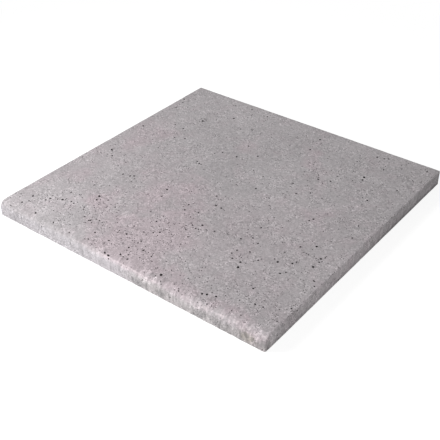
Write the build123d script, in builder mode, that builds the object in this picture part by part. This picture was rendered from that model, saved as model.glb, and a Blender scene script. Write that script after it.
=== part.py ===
# Pool coping stone: a square slab of cast stone with a rounded nose along one edge.
#
# X runs along the edge of the pool, +Y runs from the pool towards the paving, +Z is up.
# The origin is the centre of the bed, the flat underside that lies on the mortar.
import os

from build123d import *

# Overall sizes, in millimetres
length = 500.0  # along the pool, from one end joint to the other
depth = 500.0  # from the nose to the back joint
thickness = 25.0  # from the bed to the walking surface

# Edges
nose_radius = 12.5  # quarter round over the upper part of the pool side
top_arris = 1.5  # eased edge round the walking surface and down the ends of the nose

# Lines of the section
pool_side = -depth / 2
paving_side = depth / 2
nose_centre = (pool_side + nose_radius, thickness - nose_radius)

with BuildPart() as coping_stone:
    # Section across the nose: pool side, square bed, back joint, walking surface, quarter round
    with BuildSketch(Plane.YZ) as section:
        with BuildLine():
            Polyline(
                (pool_side, nose_centre[1]),
                (pool_side, 0),
                (paving_side, 0),
                (paving_side, thickness),
                (nose_centre[0], thickness),
            )
            CenterArc(nose_centre, nose_radius, 90, 90)
        make_face()
    extrude(amount=length / 2, both=True)

    # Eased edge up the corners, over the nose at both ends and along the back of the top
    bed = coping_stone.faces().sort_by(Axis.Z)[0]
    ends = coping_stone.faces().filter_by(Axis.X)
    end_edges = [edge for edge in ends.edges() if edge not in bed.edges()]
    back_edge = coping_stone.edges().filter_by(Axis.X).group_by(Axis.Z)[-1].sort_by(Axis.Y)[-1]
    fillet(end_edges + [back_edge], radius=top_arris)

coping_stone.part.label = "coping_stone"

os.makedirs("parts", exist_ok=True)
export_step(coping_stone.part, "parts/coping_stone.step")
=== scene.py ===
"""Pool coping stone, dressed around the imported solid.

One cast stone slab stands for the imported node. It keeps that node's outline and adds
what is seen close up: a slightly uneven skin, open pores, worn edges and a sandy,
patchy colour.
"""

import logging
import math
from dataclasses import dataclass, field, replace
from enum import Enum
from functools import reduce

import bmesh
import bpy
from mathutils import Matrix, Vector


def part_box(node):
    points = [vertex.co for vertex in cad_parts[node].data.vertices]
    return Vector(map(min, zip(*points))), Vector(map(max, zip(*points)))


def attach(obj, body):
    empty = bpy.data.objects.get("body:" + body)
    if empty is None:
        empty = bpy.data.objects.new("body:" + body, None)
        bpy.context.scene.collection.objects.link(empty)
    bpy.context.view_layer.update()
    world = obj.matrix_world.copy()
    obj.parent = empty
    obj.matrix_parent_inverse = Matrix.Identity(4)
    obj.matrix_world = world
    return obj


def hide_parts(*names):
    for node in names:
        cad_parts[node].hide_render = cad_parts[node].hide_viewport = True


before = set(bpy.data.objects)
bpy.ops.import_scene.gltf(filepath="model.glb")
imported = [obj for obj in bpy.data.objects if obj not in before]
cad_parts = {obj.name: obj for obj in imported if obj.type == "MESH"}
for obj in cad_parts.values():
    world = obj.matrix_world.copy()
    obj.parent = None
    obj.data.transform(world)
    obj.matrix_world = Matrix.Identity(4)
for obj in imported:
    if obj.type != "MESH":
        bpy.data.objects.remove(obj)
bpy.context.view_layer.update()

log = logging.getLogger("coping_stone")

MM = 0.001
DEGREE = math.radians(1.0)
SHORTEST_EDGE = 0.001 * MM
SHARP_FROM = 50 * DEGREE
NODE = "coping_stone"
BODY = "root"
WHITE = (1.0, 1.0, 1.0, 1.0)

Triple = tuple[float, float, float]
Colour = Triple
Signal = bpy.types.NodeSocket
Signals = bpy.types.bpy_prop_collection


@dataclass(frozen=True)
class Span:
    """A change of one number from low to high, while another goes from start to end."""

    start: float
    end: float
    low: float = 0.0
    high: float = 1.0


@dataclass(frozen=True)
class Fade(Span):
    """A change from full to none."""

    low: float = 1.0
    high: float = 0.0


@dataclass(frozen=True)
class Cloud:
    """Cloudy noise: the width of its clouds, its finer layers, and the span or reach made of it."""

    size: float
    detail: float = 2.0
    roughness: float = 0.5
    span: Span = Span(0.0, 1.0)
    reach: float = 1.0


class TreeKind(Enum):
    """Blender's names for the kinds of node tree."""

    SHADER = "ShaderNodeTree"
    GEOMETRY = "GeometryNodeTree"


class SocketKind(Enum):
    """Blender's names for the kinds of socket that the groups have."""

    NUMBER = "NodeSocketFloat"
    COUNT = "NodeSocketInt"
    CHOICE = "NodeSocketBool"
    VECTOR = "NodeSocketVector"
    COLOUR = "NodeSocketColor"
    TURN = "NodeSocketRotation"
    SHAPE = "NodeSocketGeometry"
    MATERIAL = "NodeSocketMaterial"

    @classmethod
    def of(cls, default: object) -> "SocketKind":
        """The kind of socket that a default value goes into."""
        return {float: cls.NUMBER, int: cls.COUNT, bool: cls.CHOICE}[type(default)]


class Draw(Enum):
    """Random draws for scattered hollows, each with the step that keeps it apart from the others."""

    TWIN = 11
    SIZE = 23
    DIRECTION = 31
    STRETCH = 47


class NodeGraph:
    """Short ways to add, set and join the nodes of one shader or geometry tree."""

    def __init__(self, tree: bpy.types.NodeTree) -> None:
        """Works on one tree."""
        self.tree = tree

    def feed(self, socket: Signal, value: object) -> None:
        """Joins a socket to another one, or sets its value.

        Args:
            socket: The input to feed.
            value: An output socket, or a plain value.
        """
        if isinstance(value, Signal):
            self.tree.links.new(value, socket)
        else:
            socket.default_value = value

    def add(self, kind: str, inputs: dict | None = None, **settings: object) -> bpy.types.Node:
        """Adds a node.

        Args:
            kind: Blender's name for the node's type.
            inputs: Values or output sockets by input name or number.
            **settings: Properties of the node itself.

        Returns:
            The new node.
        """
        node = self.tree.nodes.new(kind)
        for name, value in settings.items():
            setattr(node, name, value)
        for name, value in (inputs or {}).items():
            self.feed(node.inputs[name], value)
        return node

    def maths(self, operation: str, *values: object, clamp: bool = False) -> Signal:
        """Adds a Math node with its inputs in order, held from 0 to 1 if asked."""
        inputs = dict(enumerate(values))
        return self.add("ShaderNodeMath", inputs, operation=operation, use_clamp=clamp).outputs[0]

    def product(self, *factors: object) -> Signal:
        """Multiplies numbers in the order given."""
        return reduce(lambda one, other: self.maths("MULTIPLY", one, other), factors)

    def total(self, *parts: object) -> Signal:
        """Adds numbers up in the order given."""
        return reduce(lambda one, other: self.maths("ADD", one, other), parts)

    def rest_of(self, share: object) -> Signal:
        """What a share leaves of one."""
        return self.maths("SUBTRACT", 1.0, share)

    def centred(self, value: object, reach: object) -> Signal:
        """Makes a number from 0 to 1 swing about nothing, with a reach from end to end."""
        return self.maths("MULTIPLY", self.maths("SUBTRACT", value, 0.5), reach)

    def vector_maths(self, operation: str, *values: object) -> Signal:
        """Adds a Vector Math node, and gives its vector, or the number of a LENGTH."""
        node = self.add("ShaderNodeVectorMath", dict(enumerate(values)), operation=operation)
        return node.outputs["Value" if operation == "LENGTH" else "Vector"]

    def scaled(self, vector: object, factor: object) -> Signal:
        """Multiplies a vector by one number."""
        return self.add("ShaderNodeVectorMath", {0: vector, "Scale": factor}, operation="SCALE").outputs[0]

    def shifted(self, vector: object, offset: object, reach: float) -> Signal:
        """Moves a vector by a reach times an offset."""
        return self.vector_maths("ADD", vector, self.scaled(offset, reach))

    def vector(self, x: object = 0.0, y: object = 0.0, z: object = 0.0) -> Signal:
        """Puts a vector together."""
        return self.add("ShaderNodeCombineXYZ", {0: x, 1: y, 2: z}).outputs[0]

    def parts(self, vector: object) -> Signals:
        """Takes a vector apart into its three numbers."""
        return self.add("ShaderNodeSeparateXYZ", {0: vector}).outputs

    def ramp(
        self, value: object, start: object, end: object, low: object = 0.0, high: object = 1.0
    ) -> Signal:
        """Turns the range from start to end smoothly into low to high, and holds it outside."""
        inputs = {0: value, 1: start, 2: end, 3: low, 4: high}
        return self.add("ShaderNodeMapRange", inputs, interpolation_type="SMOOTHSTEP").outputs[0]

    def over(self, value: object, span: Span, unit: float = 1.0, zero: float = 0.0) -> Signal:
        """Turns a number as a span says, its start and end counted in a unit from a zero."""
        return self.ramp(value, zero + span.start * unit, zero + span.end * unit, span.low, span.high)

    def mixed(self, factor: object, first: object, second: object) -> Signal:
        """Mixes two colours, with the second one at factor 1."""
        inputs = {0: factor, 6: rgba(first), 7: rgba(second)}
        return self.add("ShaderNodeMix", inputs, data_type="RGBA").outputs[2]

    def noise_node(self, vector: object, size: object, detail: float, roughness: float) -> bpy.types.Node:
        """Adds a node of cloudy noise.

        Args:
            vector: The place that is read.
            size: The width of its largest clouds, in metres, or the socket that gives it.
            detail: How many finer layers it has.
            roughness: How strong they are.

        Returns:
            The node.
        """
        scale = self.maths("DIVIDE", 1.0, size) if isinstance(size, Signal) else 1.0 / size
        inputs = {"Vector": vector, "Scale": scale, "Detail": detail, "Roughness": roughness}
        return self.add("ShaderNodeTexNoise", inputs)

    def noise(self, vector: object, cloud: Cloud, size: object = None) -> Signal:
        """Adds cloudy noise from 0 to 1, with its size from a socket if the tree has one."""
        return self.noise_node(vector, size or cloud.size, cloud.detail, cloud.roughness).outputs[0]

    def clouds(self, vector: object, cloud: Cloud) -> Signal:
        """Adds cloudy noise, turned into its span."""
        return self.over(self.noise(vector, cloud), cloud.span)

    def swing(self, vector: object, cloud: Cloud) -> Signal:
        """Adds cloudy noise that swings about nothing, by its reach."""
        return self.centred(self.noise(vector, cloud), cloud.reach)

    def stir(self, vector: object, cloud: Cloud) -> Signal:
        """Adds a cloudy vector that swings about nothing, each way by a half."""
        node = self.noise_node(vector, cloud.size, cloud.detail, cloud.roughness)
        return self.vector_maths("SUBTRACT", node.outputs["Color"], (0.5, 0.5, 0.5))

    def cells(self, vector: object, size: float) -> tuple[Signal, Signals]:
        """Adds a field of scattered cells.

        Args:
            vector: The place that is read.
            size: How wide a cell is, in metres.

        Returns:
            The distance from the nearest cell's middle, in cell widths, and its three random numbers.
        """
        node = self.add("ShaderNodeTexVoronoi", {"Vector": vector, "Scale": 1.0 / size, "Randomness": 1.0})
        draws = self.add("ShaderNodeSeparateColor", {0: node.outputs["Color"]})
        return node.outputs["Distance"], draws.outputs

    def stored(self, label: str, data_type: str = "FLOAT") -> Signal:
        """Reads what is stored on each point under a name."""
        return self.add("GeometryNodeInputNamedAttribute", {"Name": label}, data_type=data_type).outputs[0]

    def random_number(self, seed: object, draw: Draw, high: float = 1.0) -> Signal:
        """Adds a random number for each point, from 0 up to the largest value."""
        inputs = {2: 0.0, 3: high, "Seed": self.maths("ADD", seed, float(draw.value))}
        return self.add("FunctionNodeRandomValue", inputs, data_type="FLOAT").outputs[1]

    def random_choice(self, seed: object, draw: Draw, odds: object) -> Signal:
        """Adds a random yes or no for each point, with the chance of yes."""
        inputs = {"Probability": odds, "Seed": self.maths("ADD", seed, float(draw.value))}
        return self.add("FunctionNodeRandomValue", inputs, data_type="BOOLEAN").outputs[3]

    def turned(self, rotation: object, angles: object) -> Signal:
        """Turns a rotation further, round its own axes."""
        further = self.add("FunctionNodeEulerToRotation", {0: angles}).outputs[0]
        return self.add("FunctionNodeRotateRotation", {
            "Rotation": rotation, "Rotate By": further,
        }, rotation_space="LOCAL").outputs[0]

    def finish(self, geometry: object, material: object, label: str) -> None:
        """Ends a geometry tree: its instances become real mesh, and the mesh gets its material.

        Args:
            geometry: What the tree has made.
            material: The material.
            label: The name of the tree's output.
        """
        whole = self.add("GeometryNodeRealizeInstances", {"Geometry": geometry})
        dressed = self.add("GeometryNodeSetMaterial", {"Geometry": whole.outputs[0], "Material": material})
        self.add("NodeGroupOutput", {label: dressed.outputs[0]})


def rgba(colour: object) -> object:
    """Gives a three-part colour its fourth part, and leaves sockets alone."""
    return (*colour, 1.0) if isinstance(colour, tuple) else colour


def new_group(
    name: str, kind: TreeKind, inputs: dict[str, object], outputs: dict[str, SocketKind]
) -> tuple[NodeGraph, Signals]:
    """Makes a node group with named sockets.

    Args:
        name: The group's name.
        kind: Whether it is a shader or a geometry tree.
        inputs: Default value, or the kind of socket where it has none, by input name.
        outputs: Kind of socket by output name.

    Returns:
        The group's graph, and what the group is given.
    """
    tree = bpy.data.node_groups.new(name, kind.value)
    for label, default in inputs.items():
        bare = isinstance(default, SocketKind)
        socket_kind = default if bare else SocketKind.of(default)
        socket = tree.interface.new_socket(label, in_out="INPUT", socket_type=socket_kind.value)
        if not bare:
            socket.default_value = default
    for label, socket_kind in outputs.items():
        tree.interface.new_socket(label, in_out="OUTPUT", socket_type=socket_kind.value)
    graph = NodeGraph(tree)
    return graph, graph.add("NodeGroupInput").outputs


@dataclass
class SlabShape:
    """The stone's plain form: a slab with a quarter-round nose and eased edges.

    The last four sizes are the gaps between the lines of its grid.
    """

    low: Vector
    high: Vector
    nose_radius: float = 12.5 * MM
    arris: float = 1.5 * MM
    nose_steps: int = 8
    arris_steps: int = 3
    along: float = 4.0 * MM
    across: float = 8.0 * MM
    upward: float = 3.0 * MM
    bed_rim: float = 4.0 * MM

    def finer(self, times: float) -> "SlabShape":
        """The same form with its grid lines so many times closer together."""
        return replace(self, along=self.along / times, across=self.across / times, upward=self.upward / times)

    @staticmethod
    def round_offsets(radius: float, steps: int) -> list[float]:
        """Distances from an edge that end up evenly spread over the facets of its round."""
        return [radius * (1 - math.tan(math.pi / 4 * k / steps)) for k in range(steps, -1, -1)]

    @staticmethod
    def stations(
        low: float, high: float, start: list[float], end: list[float], spacing: float
    ) -> list[float]:
        """Places of the grid lines along one axis.

        Args:
            low: Where the axis starts.
            high: Where it ends.
            start: Distances of the close lines from the start.
            end: Distances of the close lines from the end.
            spacing: The widest gap between the lines in the field.

        Returns:
            The places in order.
        """
        first, last = low + max(start), high - max(end)
        count = math.ceil((last - first) / spacing)
        field_lines = [first + (last - first) * k / count for k in range(1, count)]
        return sorted([low + d for d in start] + field_lines + [high - d for d in end])

    def rounded(self, x: float, y: float, z: float) -> Vector:
        """Moves a point of the square block to its place on the rounded stone.

        Args:
            x: Place along the pool.
            y: Place from the pool towards the paving.
            z: Height.

        Returns:
            The point on, or in, the stone.
        """
        low, high, arris = self.low, self.high, self.arris
        near = min(x - low.x, high.x - x)
        sides = {"top": high.z - z, "pool": y - low.y, "back": high.y - y}
        depth = min(sides.values())
        into_end, into_side = arris - near, arris - depth
        sunk = depth
        if into_end > 0 and into_side > 0:
            share = max(into_end, into_side) / math.hypot(into_end, into_side)
            x = math.copysign(high.x - arris + into_end * share, x)
            sunk = arris - into_side * share
        top_in, back_in = arris - sides["top"], arris - sides["back"]
        nose = Vector((y - low.y - self.nose_radius, z - high.z + self.nose_radius))
        if nose.x < 0 < nose.y:
            nose = nose.normalized() * (self.nose_radius - sunk)
            y, z = low.y + self.nose_radius + nose.x, high.z - self.nose_radius + nose.y
        elif top_in > 0 and back_in > 0:
            reach = (arris - sunk) / math.hypot(top_in, back_in)
            y, z = high.y - arris + back_in * reach, high.z - arris + top_in * reach
        elif depth == sides["top"]:
            z = high.z - sunk
        elif depth == sides["pool"]:
            y = low.y + sunk
        else:
            y = high.y - sunk
        return Vector((x, y, z))

    def mesh(self, name: str) -> bpy.types.Mesh:
        """Builds the closed mesh: a fine grid on every side, and one face for the bed.

        Args:
            name: The mesh's name.

        Returns:
            The mesh, with its faces outward.
        """
        edge = self.round_offsets(self.arris, self.arris_steps)
        nose = [d for d in self.round_offsets(self.nose_radius, self.nose_steps) if d > self.arris]
        lines = (
            self.stations(self.low.x, self.high.x, edge, edge, self.along),
            self.stations(self.low.y, self.high.y, edge + nose, edge, self.across),
            self.stations(self.low.z, self.high.z, [0.0], edge + nose, self.upward),
        )
        ends = [len(line) - 1 for line in lines]
        made = bmesh.new()
        corners: dict[tuple[int, int, int], bmesh.types.BMVert] = {}

        def corner(*cell: int) -> bmesh.types.BMVert:
            """Finds the vertex at one crossing of the grid, or makes it.

            Args:
                *cell: The numbers of the crossing's three grid lines.

            Returns:
                The vertex.
            """
            if cell not in corners:
                corners[cell] = made.verts.new(self.rounded(*(lines[axis][cell[axis]] for axis in range(3))))
            return corners[cell]

        for axis, (u, v) in enumerate(((1, 2), (2, 0), (0, 1))):
            for side in (0, ends[axis]):
                if axis == 2 and side == 0:
                    continue
                for i in range(ends[u]):
                    for j in range(ends[v]):
                        cells = []
                        for du, dv in ((0, 0), (1, 0), (1, 1), (0, 1)):
                            cell = [side] * 3
                            cell[u], cell[v] = i + du, j + dv
                            cells.append(corner(*cell))
                        made.faces.new(cells if side else reversed(cells))
        rim = [(i, 0) for i in range(ends[0])] + [(ends[0], j) for j in range(ends[1])]
        rim += [(i, ends[1]) for i in range(ends[0], 0, -1)] + [(0, j) for j in range(ends[1], 0, -1)]
        bed = made.faces.new([corner(i, j, 0) for i, j in reversed(rim)])
        bmesh.ops.recalc_face_normals(made, faces=made.faces)
        bmesh.ops.inset_individual(made, faces=[bed], thickness=self.bed_rim)
        mesh = bpy.data.meshes.new(name)
        made.to_mesh(mesh)
        made.free()
        return mesh


class HollowKind(Enum):
    """Named kinds of hollow in the skin, by the name of the mesh that cuts them."""

    BUBBLE = "air_bubbles"
    PINHOLE = "pinholes"
    CHIP = "edge_chips"
    LARGE = "large_pores"


@dataclass(frozen=True)
class HollowSizes:
    """How one kind of scattered hollow looks and how many there are."""

    kind: HollowKind
    per_square_metre: float
    smallest: float
    largest: float
    rarity: float
    stretch: float
    twins: float
    clumping: float
    side_share: float
    facets: int
    seed: int
    pointed: bool = False


@dataclass(frozen=True)
class Pore:
    """One large pore of the walking surface, listed in millimetres and degrees."""

    from_left: float
    from_nose: float
    width: float
    stretch: float = 1.0
    turn: float = 0.0


LARGE_PORES = (
    Pore(29, 221, 2.5, 2.2, -38), Pore(43, 207, 2.2, 1.4, -40), Pore(15, 316, 2.5, 1.5, -40),
    Pore(88, 395, 2.9, 1.5, -50), Pore(85, 403, 1.7), Pore(126, 437, 2.5, 1.5, -45),
    Pore(103, 326, 2.2, 1.4, -50),
    Pore(86, 318, 2.1, 1.3, 20), Pore(167, 280, 2.1, 1.5, -20), Pore(174, 276, 2.2, 1.6, -30),
    Pore(210, 332, 2.5, 1.5, -45), Pore(205, 373, 2.6), Pore(237, 355, 2.4, 1.4, -50),
    Pore(183, 184, 2.6, 1.3, -35), Pore(97, 175, 2.7), Pore(110, 178, 2.6), Pore(115, 182, 2.7, 1.2, 30),
    Pore(271, 196, 2.5, 1.5, 5), Pore(282, 195, 2.3, 1.3, -20), Pore(112, 105, 3.0, 1.5, -40),
    Pore(116, 95, 3.0), Pore(74, 63, 3.4), Pore(56, 54, 2.9), Pore(54, 47, 2.4), Pore(30, 42, 2.8, 1.2, 10),
    Pore(30, 20, 2.4, 1.3, -30), Pore(68, 13, 2.6, 1.2, -20), Pore(218, 6.5, 1.9, 1.7, -25),
    Pore(225.5, 5.5, 2.3, 1.6, 0), Pore(213, 57, 2.1, 1.8, -30), Pore(238, 35, 2.4, 1.2, -30),
    Pore(242, 57, 2.4), Pore(241, 51, 2.2), Pore(259, 43, 2.2, 1.4, -50), Pore(315, 16, 3.4, 1.2, -45),
    Pore(354, 6, 1.5, 1.5, 30), Pore(384, 19, 2.8), Pore(390, 22, 2.6, 1.3, -30), Pore(402, 26, 2.8),
    Pore(384, 105, 2.9), Pore(388, 94, 2.9, 1.4, -45), Pore(425, 137, 3.2), Pore(443, 147, 2.8),
    Pore(446, 153, 2.2), Pore(470, 158, 3.2), Pore(469, 180, 2.8, 1.2, -40), Pore(472, 187, 1.6),
    Pore(449, 201, 3.1), Pore(431, 186, 2.6), Pore(352, 150, 2.0, 1.6, -45), Pore(287, 142, 2.4, 1.6, -25),
    Pore(262, 164, 1.9, 1.5, -50), Pore(241, 157, 2.2, 1.4, -45), Pore(409, 256, 2.9), Pore(406, 249, 2.3),
    Pore(292, 272, 2.7), Pore(330, 321, 2.5), Pore(350, 299, 2.4, 1.2, -40), Pore(367, 314, 2.7),
    Pore(374, 363, 2.8), Pore(356, 355, 2.8), Pore(411, 406, 2.9, 1.5, -50), Pore(413, 397, 2.5),
    Pore(397, 475, 2.4, 1.4, -60), Pore(415, 482, 2.6), Pore(484, 484, 3.0), Pore(425, 446, 1.9, 1.5, -60),
    Pore(295, 427, 2.9), Pore(290, 467, 2.3, 1.8, -55), Pore(170, 480, 2.6), Pore(132, 485, 2.4),
    Pore(448, 350, 2.6), Pore(479, 250, 1.8, 1.5, -45), Pore(249, 90, 2.6), Pore(230, 76, 2.2, 1.3, -40),
    Pore(147, 50, 2.6), Pore(174, 32, 2.2, 1.2, -30), Pore(255, 14, 2.3), Pore(277, 39, 2.1),
    Pore(144, 9, 1.6),
    Pore(452, 45, 2.1, 1.3, -40), Pore(464, 46, 1.9), Pore(362, 114, 2.2), Pore(364, 124, 2.1, 1.3, -30),
    Pore(378, 156, 2.4), Pore(447, 125, 2.0, 1.2, -40), Pore(381, 132, 2.4), Pore(409, 478, 2.7),
    Pore(115, 69, 2.1), Pore(227, 108, 2.1, 1.3, -40), Pore(494, 123, 2.1), Pore(450, 16, 1.5, 1.3, -20),
)


@dataclass(frozen=True)
class Patch:
    """One soft-edged patch of colour, in millimetres from the nose's left corner, and degrees."""

    from_left: float
    from_nose: float
    length: float
    width: float
    turn: float = 0.0
    strength: float = 1.0


DENSE_ZONES = (
    Patch(245, 110, 48, 105, 0, 1.05), Patch(400, 130, 75, 85, 0, 0.12), Patch(445, 175, 35, 40, 0, 0.35),
    Patch(75, 45, 70, 45, 0, 0.55), Patch(150, 70, 50, 45, 0, 0.6), Patch(120, 105, 22, 22, 0, 1.0),
    Patch(345, 335, 28, 48, 0, 0.9), Patch(250, 40, 260, 50, 0, 0.5), Patch(470, 300, 40, 180, 0, 0.35),
    Patch(85, 390, 26, 26, 0, 1.0), Patch(165, 275, 22, 22, 0, 0.8), Patch(30, 220, 24, 30, 0, 0.5),
    Patch(120, 172, 28, 24, 0, 0.9), Patch(395, 370, 60, 30, 0, 0.5), Patch(175, 470, 28, 28, 0, 0.5),
    Patch(75, 75, 30, 24, 0, 0.5), Patch(125, 125, 30, 24, 0, 0.5),
)


@dataclass
class HollowTrees:
    """The geometry trees that turn points into hollows to be cut from the skin.

    The sizes of the pointed cutter and of the lumps are in radii of the hollow, and the gaps
    between twins are in radii of the largest one.
    """

    wall: bpy.types.Material
    low: Vector
    lumps: Cloud = Cloud(1.4, 1.0)
    pin_sides: int = 7
    pin_mouth: float = 1.34
    pin_depth: float = 1.75
    pin_sink: float = 1.0
    clumps: Cloud = Cloud(45 * MM, 2.0, 0.5, Span(0.42, 0.66, 0.0, 2.4))
    between_zones: float = 0.35
    zone_rim: Span = Span(0.5, 1.4)
    near_nose: Span = Span(2, 13, 0.4, 1.0)
    facing_up: Span = Span(0.2, 0.9)
    nose_strip: float = 50 * MM
    end_facing: float = 0.2
    edge_facing: float = 0.93
    bed_facing: float = -0.5
    twin_gap: float = 2.7
    twin_swell: float = 0.8
    clear_gap: float = 2.6
    tilt: float = 0.5

    def __post_init__(self) -> None:
        """Builds the trees."""
        self.cutters = self.build_cutters()
        self.scatter = self.build_scatter()
        self.placed = self.build_placed()

    def build_cutters(self) -> bpy.types.NodeTree:
        """Builds the group that sets one rough ball or cone on each point.

        Returns:
            The group.
        """
        graph, given = new_group(
            "Hollow Balls", TreeKind.GEOMETRY,
            {
                "Points": SocketKind.SHAPE, "Facing": SocketKind.VECTOR, "Turn": SocketKind.TURN,
                "Radius": 1.0 * MM, "Stretch": 1.0, "Sink": 0.4, "Depth": 1.3, "Lumps": 0.55,
                "Facets": 2, "Pointed": False,
            },
            {"Balls": SocketKind.SHAPE},
        )
        ball = graph.add("GeometryNodeMeshIcoSphere", {"Radius": 1.0, "Subdivisions": given["Facets"]})
        cone = graph.add("GeometryNodeMeshCone", {
            "Vertices": self.pin_sides, "Depth": self.pin_depth,
            "Radius Top": self.pin_mouth, "Radius Bottom": 0.0,
        })
        point = graph.add("GeometryNodeTransform", {
            "Geometry": cone.outputs["Mesh"], "Translation": (0.0, 0.0, -self.pin_sink),
        })
        chosen = graph.add("GeometryNodeSwitch", {
            "Switch": given["Pointed"], "False": ball.outputs["Mesh"], "True": point.outputs[0],
        }, input_type="GEOMETRY")
        place = graph.add("GeometryNodeInputPosition").outputs[0]
        lump = graph.centred(graph.noise(place, self.lumps), given["Lumps"])
        rough = graph.add("GeometryNodeSetPosition", {
            "Geometry": chosen.outputs[0], "Offset": graph.scaled(place, lump),
        })
        inward = graph.product(given["Radius"], given["Sink"], -1.0)
        sunk = graph.add("GeometryNodeSetPosition", {
            "Geometry": given["Points"], "Offset": graph.scaled(given["Facing"], inward),
        })
        length, depth = (graph.product(given["Radius"], given[times]) for times in ("Stretch", "Depth"))
        balls = graph.add("GeometryNodeInstanceOnPoints", {
            "Points": sunk.outputs[0], "Instance": rough.outputs[0], "Rotation": given["Turn"],
            "Scale": graph.vector(length, given["Radius"], depth),
        })
        graph.add("NodeGroupOutput", {"Balls": balls.outputs[0]})
        return graph.tree

    def build_scatter(self) -> bpy.types.NodeTree:
        """Builds the tree that scatters hollows over the skin, alone and in clumps.

        Returns:
            The tree.
        """
        graph, given = new_group(
            "Scattered Hollows", TreeKind.GEOMETRY,
            {
                "Geometry": SocketKind.SHAPE, "Per Square Metre": 2000.0,
                "Smallest": 0.4 * MM, "Largest": 1.5 * MM, "Rarity": 3.0, "Stretch": 1.6, "Twins": 0.2,
                "Clumping": 0.5, "Side Share": 0.3, "Edges Only": 0.0, "Facets": 2, "Pointed": False,
                "Seed": 1, "Material": SocketKind.MATERIAL,
            },
            {"Balls": SocketKind.SHAPE},
        )
        seed, largest = given["Seed"], given["Largest"]
        normal = graph.add("GeometryNodeInputNormal").outputs[0]
        upward = graph.parts(normal)[2]
        not_bed = graph.add("FunctionNodeCompare", {
            0: upward, 1: self.bed_facing,
        }, data_type="FLOAT", operation="GREATER_THAN")
        points = graph.add("GeometryNodeDistributePointsOnFaces", {
            "Mesh": given["Geometry"], "Selection": not_bed.outputs[0],
            "Density": self.density(graph, given, normal, upward), "Seed": seed,
        })
        twins = graph.add("GeometryNodeDuplicateElements", {
            "Geometry": points.outputs["Points"],
            "Amount": graph.total(1.0, graph.random_choice(seed, Draw.TWIN, given["Twins"])),
        }, domain="POINT")
        chance = graph.maths("POWER", graph.random_number(seed, Draw.SIZE), given["Rarity"])
        radius = graph.ramp(chance, 0.0, 1.0, given["Smallest"], largest)
        step_away = graph.total(graph.product(radius, self.twin_swell), graph.product(largest, self.twin_gap))
        away = graph.product(twins.outputs["Duplicate Index"], step_away)
        angle = graph.random_number(seed, Draw.DIRECTION, high=math.tau)
        sideways = graph.vector(*(graph.product(graph.maths(way, angle), away) for way in ("COSINE", "SINE")))
        facing = points.outputs["Rotation"]
        along = graph.add("FunctionNodeRotateVector", {"Vector": sideways, "Rotation": facing})
        spread = graph.add("GeometryNodeSetPosition", {
            "Geometry": twins.outputs[0], "Offset": along.outputs[0],
        })
        clear = graph.add("GeometryNodeMergeByDistance", {
            "Geometry": spread.outputs[0], "Distance": graph.product(largest, self.clear_gap),
        })
        tilt = graph.add("FunctionNodeRandomValue", {
            0: (-self.tilt, -self.tilt, 0.0), 1: (self.tilt, self.tilt, math.tau), "Seed": seed,
        }, data_type="FLOAT_VECTOR")
        stretch = graph.ramp(graph.random_number(seed, Draw.STRETCH), 0.0, 1.0, 1.0, given["Stretch"])
        balls = graph.add("GeometryNodeGroup", node_tree=self.cutters, inputs={
            "Points": clear.outputs[0], "Facing": points.outputs["Normal"],
            "Turn": graph.turned(facing, tilt.outputs[0]), "Radius": radius, "Stretch": stretch,
            "Facets": given["Facets"], "Pointed": given["Pointed"],
        })
        graph.finish(balls.outputs[0], given["Material"], "Balls")
        return graph.tree

    def density(self, graph: NodeGraph, given: Signals, normal: Signal, upward: Signal) -> Signal:
        """Adds the number of hollows per square metre, which changes over the skin.

        Args:
            graph: The tree it goes into.
            given: What the tree is given.
            normal: The way the skin faces.
            upward: How far it faces up, from -1 to 1.

        Returns:
            The number.
        """
        place = graph.add("GeometryNodeInputPosition").outputs[0]
        from_pool = graph.parts(place)[1]
        clumping, edges_only = given["Clumping"], given["Edges Only"]
        clumped = graph.product(graph.clouds(place, self.clumps), clumping)
        weight = graph.total(clumped, graph.rest_of(clumping))
        zones: object = self.between_zones
        for zone in DENSE_ZONES:
            centre = (self.low.x + zone.from_left * MM, self.low.y + zone.from_nose * MM, 0.0)
            per_size = (1 / (zone.length * MM), 1 / (zone.width * MM), 0.0)
            off = graph.vector_maths("MULTIPLY", graph.vector_maths("SUBTRACT", place, centre), per_size)
            apart = graph.vector_maths("LENGTH", off)
            mask = graph.over(apart, replace(self.zone_rim, low=zone.strength, high=0.0))
            zones = graph.total(zones, mask)
        nose = graph.over(from_pool, self.near_nose, MM, self.low.y)
        sides = graph.ramp(upward, self.facing_up.start, self.facing_up.end, given["Side Share"], 1.0)
        flat = graph.parts(graph.vector_maths("ABSOLUTE", normal))
        widest = graph.maths("MAXIMUM", graph.maths("MAXIMUM", flat[0], flat[1]), flat[2])
        in_strip = graph.maths("LESS_THAN", from_pool, self.low.y + self.nose_strip)
        on_nose = graph.product(graph.maths("LESS_THAN", flat[0], self.end_facing), in_strip)
        on_edge = graph.product(graph.maths("LESS_THAN", widest, self.edge_facing), graph.rest_of(on_nose))
        edges = graph.total(graph.rest_of(edges_only), graph.product(on_edge, edges_only))
        return graph.product(given["Per Square Metre"], weight, zones, nose, sides, edges)

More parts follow.
